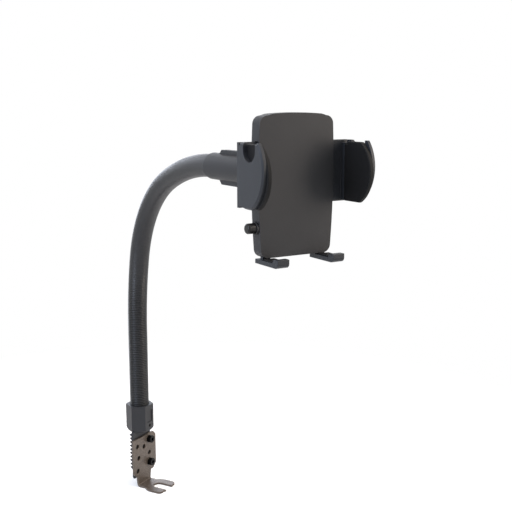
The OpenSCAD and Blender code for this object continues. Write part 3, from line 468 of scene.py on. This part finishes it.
def plated_steel(name, colour, rough=0.3, mottle=0.1):
    """Plated or bright steel: metallic, with a cloudy plating that is duller in patches."""
    material = new_material(name)
    tree = material.node_tree
    place = add(tree, "ShaderNodeTexCoord")
    cloud = add(
        tree, "ShaderNodeTexNoise",
        {"Vector": (place, "Object"), "Scale": per_metre(2.5), "Detail": 4.0, "Roughness": 0.6},
    )
    tone = add(
        tree, "ShaderNodeMix",
        {MIX_FACTOR: (cloud, "Fac"), MIX_A: shade(colour, 1 - mottle), MIX_B: shade(colour, 1 + mottle)},
        data_type="RGBA",
    )
    gloss = add(
        tree, "ShaderNodeMapRange",
        {
            "Value": (cloud, "Fac"), "From Min": 0.3, "From Max": 0.7,
            "To Min": rough - 0.07, "To Max": rough + 0.1,
        },
    )
    surface = add(
        tree, "ShaderNodeBsdfPrincipled",
        {"Base Color": (tone, MIX_OUT), "Metallic": 1.0, "Roughness": (gloss, "Result")},
    )
    add(tree, "ShaderNodeOutputMaterial", {"Surface": (surface, "BSDF")})
    return material


def material_once(name, make, *values, **settings):
    """The material of this name, made at its first use."""
    return bpy.data.materials.get(name) or make(name, *values, **settings)


def finish(name):
    """The material for a named finish of this mount."""
    colours = bpy.context.scene.mount_finish
    table = {
        "bracket": ("Coated steel sheet", coated_steel, (colours.bracket,), {}),
        "collar": ("Moulded nylon, collar", moulded_plastic, (colours.collar,), {"rough": 0.46}),
        "neck": ("Extruded PVC coating", neck_coating, (colours.neck,), {}),
        "head": ("Moulded nylon, head", moulded_plastic, (colours.head,), {"rough": 0.5}),
        "case": ("Moulded ABS, case", moulded_plastic, (colours.case,), {"rough": 0.5, "grit_mm": 0.3}),
        "jaws": ("Moulded ABS, satin", moulded_plastic, (colours.jaws,), {"rough": 0.42, "bump": 0.08}),
        "pads": ("Moulded EPDM rubber", pad_rubber, (colours.pads,), {}),
        "button": (
            "Moulded ABS, semi-gloss", moulded_plastic, (colours.button,), {"rough": 0.3, "bump": 0.04},
        ),
        "zinc": ("Zinc plated steel", plated_steel, (colours.zinc,), {}),
        "oxide": ("Black oxide steel", plated_steel, (colours.oxide,), {"rough": 0.45}),
        "acetal": ("Natural acetal", moulded_plastic, (colours.acetal,), {"rough": 0.4, "bump": 0.05}),
        "spring": ("Bright spring steel", plated_steel, (colours.spring,), {"rough": 0.22}),
    }
    label, make, values, settings = table[name]
    return material_once(label, make, *values, **settings)


# The gooseneck's run

class NeckRun:
    """Gives the place and the outward normal of the neck's centre line at a length along it."""

    def __init__(self, sizes):
        self.x = sizes.axis_x
        self.start = Vector((sizes.axis_x, sizes.axis_y, sizes.foot))
        self.upright = sizes.rise - sizes.foot
        last_turn = pi / 2 - sizes.low_turn - sizes.mid_turn
        self.bends = [
            (sizes.low_bend, sizes.low_turn), (sizes.mid_bend, sizes.mid_turn), (sizes.top_bend, last_turn),
        ]
        self.bent = sum(r * turn for r, turn in self.bends)
        self.length = self.upright + self.bent + sizes.tail

    def at(self, s):
        """The centre, and the unit normal in the bend's plane, away from the bend's own centre."""
        if s <= self.upright:
            return self.start + Vector((0, 0, s)), Vector((0, 1, 0))
        s -= self.upright
        y, z, heading = self.start.y, self.start.z + self.upright, 0.0
        for r, turn in self.bends:
            part = min(s / r, turn)
            centre_y, centre_z = y - r * cos(heading), z - r * sin(heading)
            y = centre_y + r * cos(heading + part)
            z = centre_z + r * sin(heading + part)
            heading += part
            s -= part * r
            if part < turn:
                break
        if heading > LEVEL:
            y -= s
        return Vector((self.x, y, z)), Vector((0, cos(heading), sin(heading)))


def ribbed_rod(sizes, length):
    """A straight rod along +Z with one helical rib, flat at both ends."""
    pitch, depth, crest = sizes.rib_pitch, sizes.rib_depth, sizes.radius
    root, flank, shoulder = crest - depth, crest - 0.55 * depth, crest - 0.12 * depth
    # Radius, and place along one turn
    profile = [
        (root, 0.0), (flank, 0.14), (shoulder, 0.28), (crest, 0.5),
        (shoulder, 0.72), (flank, 0.86), (root, 1.0),
    ]
    bm = bmesh.new()
    verts = [bm.verts.new((r, 0, (part - 1) * pitch)) for r, part in profile]
    edges = [bm.edges.new(pair) for pair in zip(verts, verts[1:])]
    bmesh.ops.spin(
        bm, geom=verts + edges, cent=(0, 0, 0), axis=(0, 0, 1), angle=2 * pi,
        dvec=(0, 0, pitch / sizes.sides), steps=sizes.sides, use_duplicate=False, use_merge=False,
    )
    # One turn is doubled until it is long enough: the turns are alike, and spinning each is slow
    made, turns = 1, ceil(length / pitch) + 2
    while made < turns:
        copied = bmesh.ops.duplicate(bm, geom=bm.verts[:] + bm.edges[:] + bm.faces[:])
        moved = [item for item in copied["geom"] if isinstance(item, bmesh.types.BMVert)]
        bmesh.ops.translate(bm, verts=moved, vec=(0, 0, made * pitch))
        made *= 2
    bmesh.ops.remove_doubles(bm, verts=bm.verts, dist=TURN_WELD)
    for height, outwards in ((0.0, -1), (length, 1)):
        cut = bmesh.ops.bisect_plane(
            bm, geom=bm.verts[:] + bm.edges[:] + bm.faces[:], dist=1e-7,
            plane_co=(0, 0, height), plane_no=(0, 0, outwards), clear_outer=True,
        )
        rim = [e for e in cut["geom_cut"] if isinstance(e, bmesh.types.BMEdge)]
        bmesh.ops.edgeloop_fill(bm, edges=rim)
    bmesh.ops.recalc_face_normals(bm, faces=bm.faces)
    return bm


# Operators: pieces

class MOUNT_OT_bracket(Operator):
    """Bent steel bracket with its slotted foot"""
    bl_idname = "mount.bracket"
    bl_label = "Rail bracket"

    def execute(self, context):
        edges = context.scene.mount_edges
        dress("rail_bracket", "base", finish("bracket"), edges.sheet, name="bracket_sheet")
        return {"FINISHED"}


class MOUNT_OT_collar(Operator):
    """Hexagonal collar with its toothed tang"""
    bl_idname = "mount.collar"
    bl_label = "Collar and tang"

    def execute(self, context):
        edges = context.scene.mount_edges
        dress("base_collar", "base", finish("collar"), edges.moulded, name="collar_moulding")
        dress("collar_screw", "base", finish("oxide"), edges.fine, segments=2)
        return {"FINISHED"}


class MOUNT_OT_bracket_fixings(Operator):
    """Screws, washers and nuts that hold the tang to the bracket"""
    bl_idname = "mount.bracket_fixings"
    bl_label = "Bracket fixings"

    def execute(self, context):
        edges = context.scene.mount_edges
        dress("bracket_screws", "base", finish("oxide"), edges.fine, segments=2)
        for node in ("bracket_washers", "bracket_nuts"):
            dress(node, "base", finish("zinc"), edges.fine, segments=2)
        return {"FINISHED"}


class MOUNT_OT_gooseneck(Operator):
    """Ribbed gooseneck, bent along its run"""
    bl_idname = "mount.gooseneck"
    bl_label = "Gooseneck"

    def execute(self, context):
        sizes = context.scene.mount_neck
        run = NeckRun(sizes)
        bm = ribbed_rod(sizes, run.length)
        depth = bm.verts.layers.float.new(GROOVE)
        for vert in bm.verts:
            along = min(1.0, max(0.0, (vert.co.z - run.upright) / (run.bent * FADE_SHARE)))
            across = Vector((vert.co.x, vert.co.y))
            if across.length > sizes.radius / 2:
                fill = sizes.smooth * along * along * (3 - 2 * along)
                across *= 1 + fill * (sizes.radius / across.length - 1)
            # How deep the point sits in its groove, which the neck's material darkens as painted shade
            vert[depth] = (sizes.radius - across.length) / sizes.rib_depth
            centre, normal = run.at(vert.co.z)
            vert.co = centre + Vector((across.x, 0, 0)) + normal * across.y
        piece = finished(bm, "neck_ribbed", None, finish("neck"), sharp_deg=60)
        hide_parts("gooseneck")
        start, _ = run.at(run.upright * GIVE_START)
        end, _ = run.at(run.upright + run.bent)
        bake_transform(piece)
        return {"FINISHED"}


class MOUNT_OT_head(Operator):
    """Sleeve with its two ribs on the neck's end"""
    bl_idname = "mount.head"
    bl_label = "Head sleeve"

    def execute(self, context):
        edges = context.scene.mount_edges
        dress("head_sleeve", "head", finish("head"), edges.moulded, name="head_moulding")
        dress("head_screw", "head", finish("oxide"), edges.fine, segments=2)
        return {"FINISHED"}


class MOUNT_OT_swivel(Operator):
    """Ball stud, liner, lock ring and socket"""
    bl_idname = "mount.swivel"
    bl_label = "Ball swivel"

    def execute(self, context):
        edges = context.scene.mount_edges
        repaint("ball_stud", finish("zinc"))
        repaint("ball_liner", finish("acetal"))
        repaint("socket_screws", finish("zinc"))
        dress("lock_ring", "ring", finish("head"), edges.moulded)
        dress("ball_socket", "cradle", finish("head"), edges.moulded)
        return {"FINISHED"}


class MOUNT_OT_case(Operator):
    """Front cover, back shell and case screws of the cradle"""
    bl_idname = "mount.case"
    bl_label = "Cradle case"

    def execute(self, context):
        edges = context.scene.mount_edges
        dress("cradle_back", "cradle", finish("case"), edges.moulded)
        dress("cradle_front", "cradle", finish("case"), edges.moulded)
        dress("case_screws", "cradle", finish("oxide"), edges.fine, segments=2)
        return {"FINISHED"}


class MOUNT_OT_gearing(Operator):
    """Pinion, pins, springs and pawl inside the cradle"""
    bl_idname = "mount.gearing"
    bl_label = "Gearing"

    def execute(self, context):
        for node in ("pinion", "lock_pawl"):
            repaint(node, finish("acetal"))
        for node in ("pinion_pin", "pawl_pin"):
            repaint(node, finish("zinc"))
        for node in ("opening_spring", "button_spring"):
            repaint(node, finish("spring"))
        return {"FINISHED"}


class MOUNT_OT_jaws(Operator):
    """Two jaws with their pads"""
    bl_idname = "mount.jaws"
    bl_label = "Jaws"

    def execute(self, context):
        edges = context.scene.mount_edges
        for side in ("left", "right"):
            body = side + "_jaw"
            dress(side + "_arm", body, finish("jaws"), edges.moulded)
            dress(side + "_pad", body, finish("pads"), edges.rubber)
        return {"FINISHED"}


class MOUNT_OT_button(Operator):
    """Release button and its guide"""
    bl_idname = "mount.button"
    bl_label = "Release button"

    def execute(self, context):
        edges = context.scene.mount_edges
        dress("release_button", "button", finish("button"), edges.moulded)
        dress("button_guide", "cradle", finish("head"), edges.fine)
        return {"FINISHED"}


class MOUNT_OT_feet(Operator):
    """Two sliding feet with their rubber"""
    bl_idname = "mount.feet"
    bl_label = "Feet"

    def execute(self, context):
        edges = context.scene.mount_edges
        for side in ("left", "right"):
            body = "foot_" + side
            dress(side + "_foot", body, finish("jaws"), edges.moulded)
            dress(side + "_foot_pad", body, finish("pads"), edges.fine)
        return {"FINISHED"}


# Operator: stage

def area_light(name, place, size, power, tint):
    """A softbox that faces the middle of the mount."""
    data = bpy.data.lights.new(name, "AREA")
    data.shape = "RECTANGLE"
    data.size, data.size_y = size
    data.energy = power
    data.color = linear(tint)[:3]
    light = bpy.data.objects.new(name, data)
    light.location = place
    light.rotation_euler = (Vector(LIT_POINT) - Vector(place)).to_track_quat("-Z", "Y").to_euler()
    bpy.context.scene.collection.objects.link(light)


def seen_directly(tree):
    """1 for a ray from the camera, off a glossy face or through a clear one, 0 for fill light."""
    ray = add(tree, "ShaderNodeLightPath")
    direct = add(
        tree, "ShaderNodeMath",
        {0: (ray, "Is Camera Ray"), 1: (ray, "Is Glossy Ray")}, operation="MAXIMUM",
    )
    return add(
        tree, "ShaderNodeMath",
        {0: (direct, "Value"), 1: (ray, "Is Transmission Ray")}, operation="MAXIMUM",
    )


def studio_world(scene):
    """White where the camera or a reflection sees it, soft grey light elsewhere."""
    world = bpy.data.worlds.new("Studio")
    scene.world = world
    world.use_nodes = True
    tree = world.node_tree
    tree.nodes.clear()
    soft = add(tree, "ShaderNodeBackground", {"Color": (1, 1, 1, 1), "Strength": 0.35})
    white = add(tree, "ShaderNodeBackground", {"Color": (1, 1, 1, 1), "Strength": 1.0})
    mixed = add(
        tree, "ShaderNodeMixShader",
        {0: (seen_directly(tree), "Value"), 1: (soft, "Background"), 2: (white, "Background")},
    )
    add(tree, "ShaderNodeOutputWorld", {"Surface": (mixed, "Shader")})


def floor_material():
    """Matt white paper that the camera sees lit to white, with the mount's shadow kept."""
    material = new_material("White studio paper")
    tree = material.node_tree
    paper = add(tree, "ShaderNodeBsdfDiffuse", {"Color": linear("#E9E9E9"), "Roughness": 0.5})
    glow = add(tree, "ShaderNodeEmission", {"Color": (1, 1, 1, 1), "Strength": 0.3})
    both = add(tree, "ShaderNodeAddShader", {0: (paper, "BSDF"), 1: (glow, "Emission")})
    white = add(tree, "ShaderNodeEmission", {"Color": (1, 1, 1, 1), "Strength": 1.0})
    place = add(tree, "ShaderNodeTexCoord")
    reach = add(tree, "ShaderNodeVectorMath", {0: (place, "Object")}, operation="LENGTH")
    far = add(
        tree, "ShaderNodeMapRange",
        {"Value": (reach, "Value"), "From Min": FADE_FROM, "From Max": FADE_TO, "To Min": 0.0, "To Max": 1.0},
    )
    faded = add(
        tree, "ShaderNodeMixShader",
        {0: (far, "Result"), 1: (both, "Shader"), 2: (white, "Emission")},
    )
    seen = add(
        tree, "ShaderNodeMixShader",
        {0: (seen_directly(tree), "Value"), 1: (paper, "BSDF"), 2: (faded, "Shader")},
    )
    add(tree, "ShaderNodeOutputMaterial", {"Surface": (seen, "Shader")})
    return material


class MOUNT_OT_stage(Operator):
    """Camera, floor, lamps and white surroundings"""
    bl_idname = "mount.stage"
    bl_label = "Stage"

    def execute(self, context):
        scene = context.scene
        sizes = scene.mount_stage
        scene.view_settings.view_transform = "Standard"

        data = bpy.data.cameras.new("Camera")
        data.sensor_width = SENSOR_MM
        data.lens = sizes.lens
        data.clip_start = 0.01
        camera = bpy.data.objects.new("Camera", data)
        camera.location = sizes.camera
        camera.rotation_euler = (pi / 2 - sizes.pitch, 0, sizes.turn)
        scene.collection.objects.link(camera)
        scene.camera = camera

        bm = bmesh.new()
        bmesh.ops.create_circle(bm, cap_ends=True, segments=FLOOR_SIDES, radius=FLOOR_RADIUS)
        bmesh.ops.translate(bm, verts=bm.verts, vec=(0, 0, -FLOOR_GAP))
        mesh = bpy.data.meshes.new("floor")
        bm.to_mesh(mesh)
        bm.free()
        mesh.materials.append(floor_material())
        floor = bpy.data.objects.new("floor", mesh)
        scene.collection.objects.link(floor)

        for name, (place, size, power, tint) in LAMPS.items():
            area_light(name, place, size, power, tint)
        studio_world(scene)
        return {"FINISHED"}


# Panel and registration

PIECE_OPERATORS = (
    MOUNT_OT_bracket, MOUNT_OT_collar, MOUNT_OT_bracket_fixings, MOUNT_OT_gooseneck, MOUNT_OT_head,
    MOUNT_OT_swivel, MOUNT_OT_case, MOUNT_OT_gearing, MOUNT_OT_jaws, MOUNT_OT_button, MOUNT_OT_feet,
)


class MOUNT_PT_panel(Panel):
    """Sizes, colours and pieces of the phone mount"""
    bl_idname = "MOUNT_PT_panel"
    bl_label = "Phone Mount"
    bl_space_type = "VIEW_3D"
    bl_region_type = "UI"
    bl_category = "Phone Mount"

    def draw(self, context):
        scene = context.scene
        for group in (scene.mount_neck, scene.mount_edges, scene.mount_finish, scene.mount_stage):
            box = self.layout.box()
            for key in group.__annotations__:
                box.prop(group, key)
        column = self.layout.column()
        for operator in PIECE_OPERATORS + (MOUNT_OT_stage,):
            column.operator(operator.bl_idname)


GROUPS = {
    "mount_neck": NeckSizes,
    "mount_edges": EdgeSizes,
    "mount_finish": Finish,
    "mount_stage": StageSizes,
}


def register():
    for group in GROUPS.values():
        bpy.utils.register_class(group)
    for key, group in GROUPS.items():
        setattr(bpy.types.Scene, key, PointerProperty(type=group))
    for cls in PIECE_OPERATORS + (MOUNT_OT_stage, MOUNT_PT_panel):
        bpy.utils.register_class(cls)


def unregister():
    for cls in reversed(PIECE_OPERATORS + (MOUNT_OT_stage, MOUNT_PT_panel)):
        bpy.utils.unregister_class(cls)
    for key in GROUPS:
        delattr(bpy.types.Scene, key)
    for group in reversed(list(GROUPS.values())):
        bpy.utils.unregister_class(group)


def main():
    register()
    bpy.ops.mount.stage()
    for operator in PIECE_OPERATORS:
        getattr(bpy.ops.mount, operator.bl_idname.split(".")[1])()


if __name__ == "__main__":
    main()
